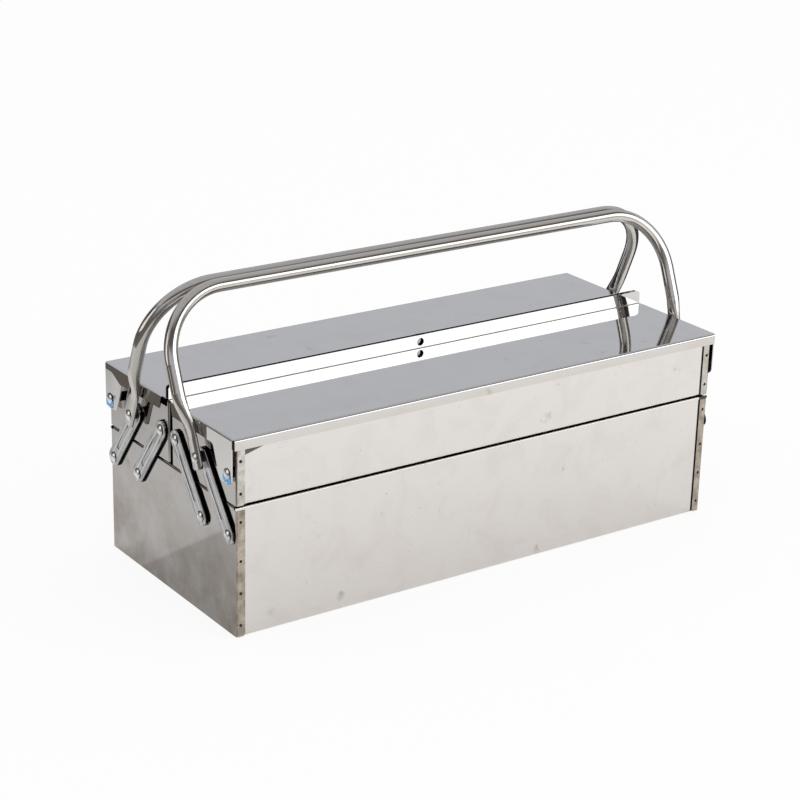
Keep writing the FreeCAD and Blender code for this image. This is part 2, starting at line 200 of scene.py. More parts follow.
def wall_sheet():
    """The shells are the same sheet, with a painted shadow beside one end's lapped strip, a dark line where the
    strip stands a little off the wall, and at the other end a corner pushed in under the lid's lip, which
    mirrors the dark under the lip and is darkened there by painted shade."""
    material, tree, shader, place, colour, fine = bright_sheet(
        "bright_stainless_sheet", "#E5E1DD", "#CDC6BE", smear_share=0.25, dull=0.04)
    split, along, side = turned_round(tree, place)
    side = node(tree, "Math", {"operation": "GREATER_THAN", 1: WALL_MM * MM}, {0: side})
    # painted shadow: a dark line on the outer wall beside the strip's edge, where the strip stands off the wall
    gap_shadow = node(tree, "MapRange", {"From Min": GAP_SHADOW_FROM_MM * MM, "From Max": GAP_SHADOW_TO_MM * MM,
                                   "To Max": PAINTED_SHADE_SHARE}, {"Value": along})
    gap_shadow = node(tree, "Math", {"operation": "MULTIPLY"}, {0: gap_shadow, 1: side})
    colour = node(tree, "Mix", {"data_type": "RGBA", SECOND: linear("#1B1A19")}, {MIX: gap_shadow, FIRST: colour})
    start = node(tree, "MapRange", {"From Min": PUSH_FROM_MM * MM, "From Max": PUSH_TO_MM * MM,
                                    "To Min": PUSH_HIGH_MM * MM, "To Max": PUSH_LOW_MM * MM},
                 {"Value": along})
    push = node(tree, "Math", {"operation": "SUBTRACT"}, {0: split.outputs["Z"], 1: start})
    push = node(tree, "Math", {"operation": "MAXIMUM", 1: 0.0}, {0: push})
    push = node(tree, "Math", {"operation": "MULTIPLY"}, {0: push, 1: side})
    # painted reflection of the dark under the lid's lip, darkening the pushed corner
    shade = node(tree, "MapRange", {"From Max": PUSH_SOFT_MM * MM, "To Max": PAINTED_SHADE_SHARE}, {"Value": push})
    colour = node(tree, "Mix", {"data_type": "RGBA", SECOND: linear("#4A4744")}, {MIX: shade, FIRST: colour})
    pushed = node(tree, "Bump", {"invert": True, "Distance": LEAN}, {"Height": push, "Normal": fine})
    tree.links.new(socket(colour), shader.inputs["Base Color"])
    tree.links.new(socket(pushed), shader.inputs["Normal"])
    return material


LID_END_MM, LID_SIDE_MM = 217.0, 92.7     # a lid's lips lie beyond this X or this Y
LID_FOLD_MM = 149.4                       # and below this Z
LEAN_DEEP_MM = 11.0                       # a free lip leans down to here below the fold, past its edge
TAB_FROM_MM, TAB_TO_MM = 58.0, 56.0       # at the tight end the lean comes in between these Y, off the tab,
LOOSE_FROM_MM, LOOSE_TO_MM = 84.0, 65.0   # at the loose end between these, down the tab,
LOOSE_DEEP_MM = 4.4                       # where it starts this deep
TAN_FROM_MM, TAN_TO_MM = 147.5, 145.0     # a painted reflection in tan on the outer lip comes in between these Z,
TAN_MM, TAN_SHARE = 60.0, 0.6             # in patches of this size, and tints it this far
HOLE_Z_MM, HOLE_MM = 154.8, 3.1           # the padlock hole's height, and its wall lies within this radius
INNER_MM = 1.75                           # the upright lips' inner faces lie within this Y
HOLE_SHADE_FROM_MM, HOLE_SHADE_TO_MM = 8.0, 5.0   # painted shade on the lips' inner faces comes in between these distances from the hole's middle


def lid_sheet():
    """The lids are the same sheet. Their end lips are not folded quite square, so they mirror the dark room:
    the sheet leans out down each end lip where it is free, and over more of the lip at one end of each lid.
    The lean is drawn as a height that falls with the distance below the fold, up to a limit. The outer lip is
    painted tan towards its lower edge, in patches, a painted reflection of the cream floor; painted black shade
    lines the hole and the lips' inner faces round it, in the gap between the lips."""
    material, tree, shader, place, colour, fine = bright_sheet(
        "bright_stainless_lid", "#D9D8D6", "#CBC8C5", smear_share=0.3, dull=0.03)
    split, along, side = turned_round(tree, place)
    loose = node(tree, "Math", {"operation": "LESS_THAN", 1: 0.0}, {0: along})
    tight = node(tree, "MapRange", {"From Min": TAB_FROM_MM * MM, "From Max": TAB_TO_MM * MM,
                                    "To Max": LEAN_DEEP_MM * MM}, {"Value": side})
    sprung = node(tree, "MapRange", {"interpolation_type": "SMOOTHSTEP",
                                     "From Min": LOOSE_FROM_MM * MM, "From Max": LOOSE_TO_MM * MM,
                                     "To Min": LOOSE_DEEP_MM * MM, "To Max": LEAN_DEEP_MM * MM},
                  {"Value": side})
    limit = node(tree, "Mix", links={MIX: loose, AT_0: tight, AT_1: sprung})
    drop = node(tree, "Math", {"operation": "SUBTRACT", 0: LID_FOLD_MM * MM}, {1: split.outputs["Z"]})
    drop = node(tree, "Math", {"operation": "MINIMUM"}, {0: drop, 1: limit})
    end = node(tree, "Math", {"operation": "ABSOLUTE"}, {0: split.outputs["X"]})
    end = node(tree, "Math", {"operation": "GREATER_THAN", 1: LID_END_MM * MM}, {0: end})
    drop = node(tree, "Math", {"operation": "MULTIPLY"}, {0: drop, 1: end})
    leaning = node(tree, "Bump", {"Distance": LEAN}, {"Height": drop, "Normal": fine})
    # painted reflection: the outer lip's lower edge is tinted tan in patches, for the cream floor it mirrors
    outer = node(tree, "Math", {"operation": "GREATER_THAN", 1: LID_SIDE_MM * MM}, {0: side})
    low = node(tree, "MapRange", {"From Min": TAN_FROM_MM * MM, "From Max": TAN_TO_MM * MM,
                                  "To Max": TAN_SHARE}, {"Value": split.outputs["Z"]})
    patch = node(tree, "TexNoise", {"Scale": per_mm(TAN_MM), "Detail": 2.0}, {"Vector": place})
    low = node(tree, "Math", {"operation": "MULTIPLY"}, {0: low, 1: patch})
    low = node(tree, "Math", {"operation": "MULTIPLY"}, {0: low, 1: outer})
    colour = node(tree, "Mix", {"data_type": "RGBA", SECOND: linear("#D8C9B8")}, {MIX: low, FIRST: colour})
    # painted shade: the padlock hole's wall and the lips' inner faces round it are drawn black, for the shade
    # in the hole and between the lips
    hole = node(tree, "CombineXYZ", {1: HOLE_Z_MM * MM}, {0: split.outputs["X"]})
    spot = node(tree, "CombineXYZ", links={1: split.outputs["Z"]})
    far = node(tree, "VectorMath", {"operation": "DISTANCE"}, {0: hole, 1: spot})
    inner = node(tree, "Math", {"operation": "LESS_THAN", 1: INNER_MM * MM}, {0: side})
    hole_shade = node(tree, "MapRange", {"interpolation_type": "SMOOTHSTEP", "From Min": HOLE_SHADE_FROM_MM * MM,
                                     "From Max": HOLE_SHADE_TO_MM * MM}, {"Value": far})
    bore = node(tree, "Math", {"operation": "LESS_THAN", 1: HOLE_MM * MM}, {0: far})
    painted_hole_shade = node(tree, "Math", {"operation": "MULTIPLY_ADD"}, {0: hole_shade, 1: inner, 2: bore})
    colour = node(tree, "Mix", {"data_type": "RGBA", SECOND: linear("#0E0E10")}, {MIX: painted_hole_shade, FIRST: colour})
    tree.links.new(socket(colour), shader.inputs["Base Color"])
    tree.links.new(socket(leaning), shader.inputs["Normal"])
    return material


STAIN_MM = 34.0                           # brown stains,
FOOT_SHADE_HIGH_MM, FOOT_SHADE_LOW_MM = 85.0, 15.0  # which grow from this Z down to this, as a painted reflection of the shaded floor,
STAIN_AND_SHADE_LEAST, STAIN_AND_SHADE_MOST = 0.1, 0.8        # and tint the sheet from this far to this
BLOTCH_MM = 9.0                           # blotches from the welds
TRAY_MM = 99.2                            # the trays lie above this Z
STRIP_FROM_MM, STRIP_TO_MM = 90.6, 91.2   # the lapped strips begin between these Y,
STRIP_END_MM = 213.3                      # and their faces lie within this X
PIT_FROM_MM, PIT_TO_MM = 91.72, 91.64     # a weld's dimple goes from this Y to this, under the strip's face


def end_sheet():
    """The end plates are the same sheet after welding and handling, drawn darker than the walls as painted
    shade for the darker surroundings they mirror, and tinted brown towards the foot: real stains, grown there
    as a painted reflection of the shaded floor. The lapped strips are blotched by the welds, more so on the
    base, with burnt pits, and their free edges are painted near black as painted shade."""
    # painted shade: the end plates' tone is drawn darker than the walls' same sheet
    material, tree, shader, place, colour, _ = bright_sheet(
        "stainless_end_sheet", "#BDBBB9", "#A8A19A", smear_share=0.5, dull=0.015)
    split = node(tree, "SeparateXYZ", links={"Vector": place})
    stain_and_shade = node(tree, "TexNoise", {"Scale": per_mm(STAIN_MM), "Detail": 5.0, "Roughness": 0.6},
                 {"Vector": place})
    stain_and_shade = node(tree, "MapRange", {"From Min": 0.35, "From Max": 0.8}, {"Value": stain_and_shade})
    # painted reflection: the stains grow towards the foot for the shaded floor close to the box
    painted_foot_shade = node(tree, "MapRange", {"From Min": FOOT_SHADE_HIGH_MM * MM, "From Max": FOOT_SHADE_LOW_MM * MM,
                                   "To Min": STAIN_AND_SHADE_LEAST, "To Max": STAIN_AND_SHADE_MOST},
                {"Value": split.outputs["Z"]})
    stain_and_shade = node(tree, "Math", {"operation": "MULTIPLY"}, {0: stain_and_shade, 1: painted_foot_shade})
    stained_and_shaded = node(tree, "Mix", {"data_type": "RGBA", SECOND: linear("#7C664F")},
                   {MIX: stain_and_shade, FIRST: colour})
    blotch = node(tree, "TexNoise", {"Scale": per_mm(BLOTCH_MM), "Detail": 5.0, "Roughness": 0.65},
                  {"Vector": place})
    blotch = node(tree, "MapRange", {"From Min": 0.3, "From Max": 0.7}, {"Value": blotch})
    lower, upper = (
        node(tree, "Mix", {"data_type": "RGBA", FIRST: linear(burnt), SECOND: linear(clean)}, {MIX: blotch})
        for burnt, clean in (("#83786C", "#CDC3B6"), ("#A39B92", "#E2DED8")))
    tray = node(tree, "Math", {"operation": "GREATER_THAN", 1: TRAY_MM * MM}, {0: split.outputs["Z"]})
    blotch = node(tree, "Mix", {"data_type": "RGBA"}, {MIX: tray, FIRST: lower, SECOND: upper})
    side = node(tree, "Math", {"operation": "ABSOLUTE"}, {0: split.outputs["Y"]})
    pit = node(tree, "MapRange", {"From Min": PIT_FROM_MM * MM, "From Max": PIT_TO_MM * MM}, {"Value": side})
    flat = node(tree, "Math", {"operation": "ABSOLUTE"}, {0: split.outputs["X"]})
    flat = node(tree, "Math", {"operation": "LESS_THAN", 1: STRIP_END_MM * MM}, {0: flat})
    pit = node(tree, "Math", {"operation": "MULTIPLY"}, {0: pit, 1: flat})
    blotch = node(tree, "Mix", {"data_type": "RGBA", SECOND: linear("#2A2521")}, {MIX: pit, FIRST: blotch})
    # painted shade: the strips' free edges, which face in towards the box's middle, are drawn near black
    edge = node(tree, "Mix", {"data_type": "RGBA", FIRST: linear("#17171A")},
                {MIX: facing(tree, place, low=-0.7, high=-0.4), SECOND: blotch})
    strip = node(tree, "MapRange", {"From Min": STRIP_FROM_MM * MM, "From Max": STRIP_TO_MM * MM},
                 {"Value": side})
    welded = node(tree, "Mix", {"data_type": "RGBA"}, {MIX: strip, FIRST: stained_and_shaded, SECOND: edge})
    tree.links.new(socket(welded), shader.inputs["Base Color"])
    return material


LINK_IN, LINK_UP = 0.6072, 0.7946     # a link's slope at rest, inwards and upwards
LINK_LINE_MM = 83.3                   # an inner link's middle line, across that slope,
LINK_PITCH_MM = 29.88                 # and from there to the outer link's
HIGHLIGHT_FROM_MM, HIGHLIGHT_FULL_MM = 2.0, 2.7   # the painted highlight comes in between these distances from the middle line,
HIGHLIGHT_LAST_MM, HIGHLIGHT_TO_MM = 2.9, 3.6     # and goes out between these
GROOVE_MM, BROW_MM = 3.0, 3.4         # the groove lies within the first of these, and ends at the second
STREAK_MM = (0.9, 16.0, 5.0)          # streaks: across the strip, along it and through it
GRAIN_MM, GRAIN_DEEP_MM = 1.4, 0.03   # dents from tumbling
GRAIN_SHARE = 0.6                     # their part beside the streaks
SCRATCH_SHARE = 0.7                   # how far the deepest streaks are darkened


def tumbled_strip():
    """Stamped steel strip tumbled in stone: dull grey, with fine dents and streaks along the strip, and a
    painted highlight on the groove's shoulders. Outside the groove, the sheared edges and the backs are painted
    near black as painted shade. The streaks follow the strips: their distance from the middle line of the
    nearest link is a fold of |Y| and Z."""
    material, tree, shader, place = new_material("tumbled_steel_strip")
    split = node(tree, "SeparateXYZ", links={"Vector": place})
    side = node(tree, "Math", {"operation": "ABSOLUTE"}, {0: split.outputs["Y"]})
    across, along = on_slope(tree, side, split.outputs["Z"], LINK_IN, LINK_UP)
    middle = node(tree, "Math", {"operation": "SUBTRACT", 1: LINK_LINE_MM * MM}, {0: across})
    middle = node(tree, "Math", {"operation": "PINGPONG", 1: LINK_PITCH_MM / 2 * MM}, {0: middle})
    shoulder_highlight = node(tree, "MapRange", {"interpolation_type": "SMOOTHSTEP", "From Min": HIGHLIGHT_FROM_MM * MM,
                                  "From Max": HIGHLIGHT_FULL_MM * MM}, {"Value": middle})
    highlight_out = node(tree, "MapRange", {"interpolation_type": "SMOOTHSTEP", "From Min": HIGHLIGHT_TO_MM * MM,
                                   "From Max": HIGHLIGHT_LAST_MM * MM}, {"Value": middle})
    shoulder_highlight = node(tree, "Math", {"operation": "MULTIPLY"}, {0: shoulder_highlight, 1: highlight_out})
    flow = node(tree, "CombineXYZ", links={0: across, 1: along, 2: split.outputs["X"]})
    flow = node(tree, "Mapping", {"Scale": [per_mm(size) for size in STREAK_MM]}, {"Vector": flow})
    streak = node(tree, "TexNoise", {"Scale": 1.0, "Detail": 3.0}, {"Vector": flow})
    grain = node(tree, "TexNoise", {"Scale": per_mm(GRAIN_MM), "Detail": 4.0}, {"Vector": place})
    mixed = node(tree, "Math", {"operation": "MULTIPLY_ADD", 1: GRAIN_SHARE}, {0: grain, 2: streak})
    tone = node(tree, "MapRange", {"From Min": 0.6, "From Max": 1.0}, {"Value": mixed})
    colour = node(tree, "Mix", {"data_type": "RGBA", FIRST: linear("#A6A6A7"), SECOND: linear("#DEDEDF")},
                  {MIX: tone})
    scratch = node(tree, "MapRange", {"From Min": 0.40, "From Max": 0.33, "To Max": SCRATCH_SHARE},
                   {"Value": streak})
    colour = node(tree, "Mix", {"data_type": "RGBA", SECOND: linear("#5C5A59")},
                  {MIX: scratch, FIRST: colour})
    # painted highlight: a light line on the groove's shoulders, for their rounding
    colour = node(tree, "Mix", {"data_type": "RGBA", SECOND: linear("#ECECED")}, {MIX: shoulder_highlight, FIRST: colour})
    # painted shade: outside the groove, faces that turn from looking out of the box's ends, the sheared edges
    # and the backs, are drawn near black
    groove = node(tree, "MapRange", {"From Min": BROW_MM * MM, "From Max": GROOVE_MM * MM},
                  {"Value": middle})
    shown = node(tree, "Math", {"operation": "MAXIMUM"},
                 {0: facing(tree, place, low=0.25, high=0.65), 1: groove})
    colour = node(tree, "Mix", {"data_type": "RGBA", FIRST: linear("#1E1C1B")},
                  {MIX: shown, SECOND: colour})
    rough = node(tree, "MapRange", {"From Min": 0.3, "From Max": 0.7, "To Min": 0.28, "To Max": 0.46},
                 {"Value": grain})
    dents = node(tree, "Bump", {"Strength": 0.5, "Distance": GRAIN_DEEP_MM * MM}, {"Height": mixed})
    bare_metal(tree, shader, colour, rough, dents)
    return material


DENT_MM, DENT_DEEP_MM = 2.2, 0.04   # marks of the heading tool


def headed_rivet():
    """Plated steel rivet, cold headed: a pale satin dome with slight tool dents, and painted shade round its
    rim.
    """
    material, tree, shader, place = new_material("plated_rivet")
    dent = node(tree, "TexNoise", {"Scale": per_mm(DENT_MM), "Detail": 2.0}, {"Vector": place})
    colour = node(tree, "Mix", {"data_type": "RGBA", FIRST: linear("#E2E3E5"), SECOND: linear("#FAFBFD")},
                  {MIX: dent})
    # painted shade: the head's rim, which turns from the box's ends, is drawn near black
    colour = node(tree, "Mix", {"data_type": "RGBA", FIRST: linear("#2B2A29")},
                  {MIX: facing(tree, place, low=0.25, high=0.65, both=True), SECOND: colour})
    rough = node(tree, "MapRange", {"To Min": 0.17, "To Max": 0.30}, {"Value": dent})
    dents = node(tree, "Bump", {"Strength": 0.6, "Distance": DENT_DEEP_MM * MM}, {"Height": dent})
    bare_metal(tree, shader, colour, rough, dents)
    return material


LEG_SIDE_MM, LEG_FOOT_MM = 48.5, 122.9    # a handle's pivot
LEG_IN, LEG_UP = 0.3764, 0.9265           # a handle leg's slope at rest, inwards and upwards
LEG_CROWN = 0.055                         # fall of a pressed end's rounding, per millimetre squared
PRESS_FROM_MM, PRESS_TO_MM = 44.0, 14.0   # a leg turns from round to pressed between these, from its pivot
BAR_MM, LEG_MM = 185.0, 212.0             # the bar ends at the first X, and the leg begins at the second
BELT_MM = 2.0                             # belt streaks; real ones are finer, drawn this coarse to show
BELT_BAR_MM, BELT_LEG_MM = 150.0, 70.0    # their length along the bar, and down the legs


def polished_tube():
    """Welded stainless tube, belt polished: soft long streaks of light, along the bar and down the legs. The
    pressed ends stay rounded across the leg, so the streaks run on down them, and their edges are painted
    darker as painted shade."""
    material, tree, shader, place = new_material("polished_stainless_tube")
    split = node(tree, "SeparateXYZ", links={"Vector": place})
    side = node(tree, "Math", {"operation": "ABSOLUTE"}, {0: split.outputs["Y"]})
    side = node(tree, "Math", {"operation": "SUBTRACT", 1: LEG_SIDE_MM * MM}, {0: side})
    high = node(tree, "Math", {"operation": "SUBTRACT", 1: LEG_FOOT_MM * MM}, {0: split.outputs["Z"]})
    across, along = on_slope(tree, side, high, LEG_IN, LEG_UP)
    pressed = node(tree, "MapRange", {"interpolation_type": "SMOOTHSTEP", "From Min": PRESS_FROM_MM * MM,
                                      "From Max": PRESS_TO_MM * MM}, {"Value": along})
    flow = node(tree, "CombineXYZ", links={0: split.outputs["X"], 1: across, 2: along})
    down = node(tree, "Mapping", {"Scale": (per_mm(BELT_MM), per_mm(BELT_MM), per_mm(BELT_LEG_MM))},
                {"Vector": flow})
    down = node(tree, "TexNoise", {"Scale": 1.0, "Detail": 3.0}, {"Vector": down})
    over = node(tree, "Mapping", {"Scale": (per_mm(BELT_BAR_MM), per_mm(BELT_MM), per_mm(BELT_MM))},
                {"Vector": flow})
    over = node(tree, "TexNoise", {"Scale": 1.0, "Detail": 3.0}, {"Vector": over})
    end = node(tree, "Math", {"operation": "ABSOLUTE"}, {0: split.outputs["X"]})
    end = node(tree, "MapRange", {"From Min": BAR_MM * MM, "From Max": LEG_MM * MM}, {"Value": end})
    streak = node(tree, "Mix", links={MIX: end, AT_0: over, AT_1: down})
    streak = node(tree, "MapRange", {"From Min": 0.3, "From Max": 0.7}, {"Value": streak})
    rough = node(tree, "MapRange", {"To Min": 0.10, "To Max": 0.13}, {"Value": streak})
    colour = node(tree, "Mix", {"data_type": "RGBA", FIRST: linear("#CAC6C1"), SECOND: linear("#D9D6D2")},
                  {MIX: streak})
    # painted shade: on the pressed ends, faces that turn from the box's ends are drawn darker
    flat = node(tree, "Mix", {"data_type": "RGBA", FIRST: linear("#4A4541")},
                {MIX: facing(tree, place, low=0.2, high=0.6, both=True), SECOND: colour})
    colour = node(tree, "Mix", {"data_type": "RGBA"}, {MIX: pressed, FIRST: colour, SECOND: flat})
    crown = node(tree, "Math", {"operation": "MULTIPLY"}, {0: across, 1: across})
    crown = node(tree, "Math", {"operation": "MULTIPLY"}, {0: crown, 1: pressed})
    rounded = node(tree, "Bump", {"invert": True, "Distance": LEG_CROWN / MM}, {"Height": crown})
    bare_metal(tree, shader, colour, rough, rounded)
    return material


CREASE_MM, CREASE_DEEP_MM = 3.0, 0.2   # stretch marks in torn film


def protective_film():
    """Blue polyethylene film, torn off but caught under the rivets: thin, soft-glossed, and paler where it is
    stretched."""
    material, tree, shader, place = new_material("blue_polyethylene_film")
    stretch = node(tree, "TexNoise", {"Scale": per_mm(CREASE_MM), "Detail": 3.0}, {"Vector": place})
    colour = node(tree, "Mix", {"data_type": "RGBA", FIRST: linear("#2C8CDE"), SECOND: linear("#7CC4EE")},
                  {MIX: stretch})
    creases = node(tree, "Bump", {"Strength": 0.5, "Distance": CREASE_DEEP_MM * MM}, {"Height": stretch})
    shader.inputs["Roughness"].default_value = 0.35
    shader.inputs["IOR"].default_value = 1.51
    tree.links.new(socket(colour), shader.inputs["Base Color"])
    tree.links.new(socket(creases), shader.inputs["Normal"])
    return material


finishes = {
    "bright_sheet": wall_sheet(),
    "lid_sheet": lid_sheet(),
    "end_sheet": end_sheet(),
    "link": tumbled_strip(),
    "rivet": headed_rivet(),
    "handle_tube": polished_tube(),
}
for part in frame["record"]["subparts"]:
    mesh = nodes[part["node"]].data
    mesh.materials.clear()
    mesh.materials.append(finishes[part["material_slot"]])


# ---------------------------------------------------------------- scraps of film under the lid rivets

def grid_mesh(name, points, closed_round):
    """Mesh of a (rows, columns, 3) array of points, each row joined to the next; closed_round joins the
    last column to the first."""
    rows, cols = points.shape[:2]
    index = np.arange(rows * cols).reshape(rows, cols)
    if closed_round:
        index = np.hstack([index, index[:, :1]])
    quads = np.stack([index[:-1, :-1], index[:-1, 1:], index[1:, 1:], index[1:, :-1]], axis=-1)
    mesh = bpy.data.meshes.new(name)
    mesh.from_pydata(points.reshape(-1, 3), [], quads.reshape(-1, 4))
    mesh.shade_smooth()
    made = bpy.data.objects.new(name, mesh)
    bpy.context.scene.collection.objects.link(made)
    return made


FILM_ROUND, FILM_OUT = 96, 12       # points round a scrap, and from its hole to its edge
FILM_HOLE = 3.2                     # film starts under the rivet's head; all sizes in millimetres
FILM_UP, FILM_DOWN = 3.8, 9.0       # reach above the rivet, where the head hides it, and below
FILM_GAP, FILM_LIFT = 0.03, 0.7     # how far the film lies off the tab, and its torn edge beyond that
FILM_T = 0.06
NOTCH_DEEP, NOTCH_WIDE = 0.75, 0.17   # the notch below the rivet: share of the reach, and sine of half its turn
TEARS = ((0.3, 5, 1), (0.4, 11, -2), (0.3, 19, 3))   # the torn edge's waves: size, count, share of the shift
CURLS = 5                           # waves of the lifted edge
SHIFT, SHIFT_BACK = 0.8, 1.9        # shift of the waves, and what the back's scraps add


def film_scrap(name, end, side, ragged, film):
    """Torn ring of film on a lid's tab. At angle a from straight down and share t from hole to edge, the
    radius runs from the rivet to an edge that is short above, has two lobes below, either side of a notch,
    and is ragged by three sine waves; the edge lifts off the tab with the cube of t."""
    low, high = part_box("%s_lid_rivet_%s" % (side, end))
    centre_y, centre_z = (low.y + high.y) / 2 / MM, (low.z + high.z) / 2 / MM
    lid_low, lid_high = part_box(side + "_lid")
    outward = 1 if end == "right" else -1
    face = (lid_high.x if outward > 0 else lid_low.x) / MM
    a, t = np.meshgrid(np.linspace(0, 2 * np.pi, FILM_ROUND, endpoint=False), np.linspace(0, 1, FILM_OUT))
    below = (0.5 + 0.5 * np.cos(a)) ** 3
    notch = 1 - NOTCH_DEEP * np.exp(-(np.sin(a / 2) / NOTCH_WIDE) ** 2)
    torn = sum(size * np.sin(count * a + share * ragged) for size, count, share in TEARS)
    edge = FILM_UP + below * ((FILM_DOWN - FILM_UP) * notch + torn)
    radius = FILM_HOLE + (edge - FILM_HOLE) * t
    lift = FILM_GAP + FILM_LIFT * below * t ** 3 * (0.6 + 0.4 * np.sin(CURLS * a + ragged))
    turn = outward if side == "front" else -outward
    points = np.stack([face + outward * lift, centre_y + turn * radius * np.sin(a),
                       centre_z - radius * np.cos(a)], -1)
    made = grid_mesh(name, points * MM, True)
    thick = made.modifiers.new("thickness", "SOLIDIFY")
    thick.thickness, thick.offset = FILM_T * MM, 0
    made.data.materials.append(film)
    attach(made, side + "_lid")


film = protective_film()
for end in ("left", "right"):
    for i, side in enumerate(("front", "back")):
        film_scrap("%s_film_%s" % (side, end), end, side, SHIFT + SHIFT_BACK * i, film)


# ---------------------------------------------------------------- studio, in metres

FLOOR, FLOOR_Z = 6.0, -0.0002       # half width, and a hair under the box
FIBRE_MM = 6.0                      # paper's fibres; real ones are finer, drawn this coarse to show
FLOOR_LIFT = 0.9                    # share of plain white in the floor that the camera sees,
METAL_LIFT, NEAR_LIFT = 0.24, 0.65  # that the metal shows, and that it shows close in front of the box,
NEAR_FROM, NEAR_TO = -0.2, -0.5     # which comes in between these Y
DIM_LIFT = 0.97                     # share of plain dark where the metal shows the floor dark
SKIRTING = (0.14, 0.125, 0.11, 1)   # dark foot of the room
NIGHT = (0.025, 0.025, 0.03, 1)     # unlit floor to the right of the paper, and the left wall
AWAY_X, AWAY_Y = -0.55, 0.83        # the way to the back left, away from the softbox;
AWAY_FROM, AWAY_TO = 0.2, 0.8       # the floor darkens that way between these distances
LEFT_LEAN, LEFT_FROM, LEFT_TO = 0.35, -0.44, -0.50   # the paper's left edge, by X and this share of Y,
RIGHT_LEAN, RIGHT_FROM, RIGHT_TO = 0.6, 0.32, 0.40   # and its right edge
SHADE_LEAN, SHADE_FROM, SHADE_TO = 0.284, -0.006, -0.014   # the shadow's edge, by Y and this share of X;
SHADE_X, SHADE_DEEP = -0.214, 0.55  # the shadow lies left of this X, and is this deep


def studio_floor():
    """White paper floor. The camera sees it lifted towards white, with a soft shadow left. The metal sees it
    lifted less, though more close in front of the box, darker to the back left, away from the softbox, in a
    shadow with a straight edge beside the left end, as dark as the room's foot past the paper's left edge,
    and nearly black past its right edge."""
    edges = (-FLOOR, FLOOR)
    made = grid_mesh("floor", np.array([[[x, y, FLOOR_Z] for x in edges] for y in edges]), False)
    material, tree, shader, place = new_material("white_paper")
    fibre = node(tree, "TexNoise", {"Scale": per_mm(FIBRE_MM), "Detail": 3.0}, {"Vector": place})
    colour = node(tree, "Mix", {"data_type": "RGBA", FIRST: linear("#F6F5F3"), SECOND: linear("#FBFAF9")},
                  {MIX: fibre})
    shader.inputs["Roughness"].default_value = 0.9
    shader.inputs["Specular IOR Level"].default_value = 0.0
    tree.links.new(socket(colour), shader.inputs["Base Color"])
    path = node(tree, "LightPath")
    split = node(tree, "SeparateXYZ", links={"Vector": place})
    x, y = split.outputs["X"], split.outputs["Y"]
    away = node(tree, "Math", {"operation": "MULTIPLY", 1: AWAY_X}, {0: x})
    away = node(tree, "Math", {"operation": "MULTIPLY_ADD", 1: AWAY_Y}, {0: y, 2: away})
    dim = node(tree, "MapRange", {"From Min": AWAY_FROM, "From Max": AWAY_TO}, {"Value": away})
    left = node(tree, "Math", {"operation": "MULTIPLY_ADD", 1: LEFT_LEAN}, {0: y, 2: x})
    left = node(tree, "MapRange", {"From Min": LEFT_FROM, "From Max": LEFT_TO}, {"Value": left})
    right = node(tree, "Math", {"operation": "MULTIPLY_ADD", 1: RIGHT_LEAN}, {0: y, 2: x})
    right = node(tree, "MapRange", {"From Min": RIGHT_FROM, "From Max": RIGHT_TO}, {"Value": right})
    shade = node(tree, "Math", {"operation": "MULTIPLY_ADD", 1: SHADE_LEAN}, {0: x, 2: y})
    shade = node(tree, "MapRange", {"From Min": SHADE_FROM, "From Max": SHADE_TO}, {"Value": shade})
    beside = node(tree, "Math", {"operation": "LESS_THAN", 1: SHADE_X}, {0: x})
    shade = node(tree, "Math", {"operation": "MULTIPLY"}, {0: shade, 1: beside})
    shade = node(tree, "Math", {"operation": "MULTIPLY", 1: SHADE_DEEP}, {0: shade})
    for darker in (left, right, shade):
        dim = node(tree, "Math", {"operation": "MAXIMUM"}, {0: dim, 1: darker})
    near = node(tree, "MapRange", {"From Min": NEAR_FROM, "From Max": NEAR_TO,
                                   "To Min": METAL_LIFT, "To Max": NEAR_LIFT}, {"Value": y})
    shown = node(tree, "Mix", {AT_1: DIM_LIFT}, {MIX: dim, AT_0: near})
    tint = node(tree, "Mix", {"data_type": "RGBA", FIRST: WHITE, SECOND: SKIRTING}, {MIX: dim})
    tint = node(tree, "Mix", {"data_type": "RGBA", SECOND: NIGHT}, {MIX: right, FIRST: tint})
    tint = node(tree, "Mix", {"data_type": "RGBA", FIRST: WHITE},
                {MIX: path.outputs["Is Glossy Ray"], SECOND: tint})
    seen = node(tree, "Math", {"operation": "MAXIMUM"},
                {0: path.outputs["Is Camera Ray"], 1: path.outputs["Is Transmission Ray"]})
    lift = node(tree, "Math", {"operation": "MULTIPLY", 1: FLOOR_LIFT}, {0: seen})
    lift = node(tree, "Math", {"operation": "MULTIPLY_ADD"},
                {0: path.outputs["Is Glossy Ray"], 1: shown, 2: lift})
    glow = node(tree, "Emission", {"Strength": 1.0}, {"Color": tint})
    both = node(tree, "MixShader", links={0: lift, 1: shader, 2: glow})
    tree.links.new(socket(both), tree.nodes["Material Output"].inputs["Surface"])
    made.data.materials.append(material)


LAMP_AIM = (0, 0, 0.15)   # the top of the box, which the lamps face


def soft_lamp(name, place, width, height, radiance, lights_floor=True):
    """Rectangular soft lamp; its power gives the stated radiance over its face. One that doesn't light the
    floor is a card that only the metal shows."""
    data = bpy.data.lights.new(name, "AREA")
    data.shape, data.size, data.size_y = "RECTANGLE", width, height
    data.energy = radiance * math.pi * width * height
    made = bpy.data.objects.new(name, data)
    made.location = place
    made.rotation_euler = (Vector(LAMP_AIM) - Vector(place)).to_track_quat("-Z", "Y").to_euler()
    made.visible_camera = False
    made.visible_diffuse = lights_floor
    bpy.context.scene.collection.objects.link(made)


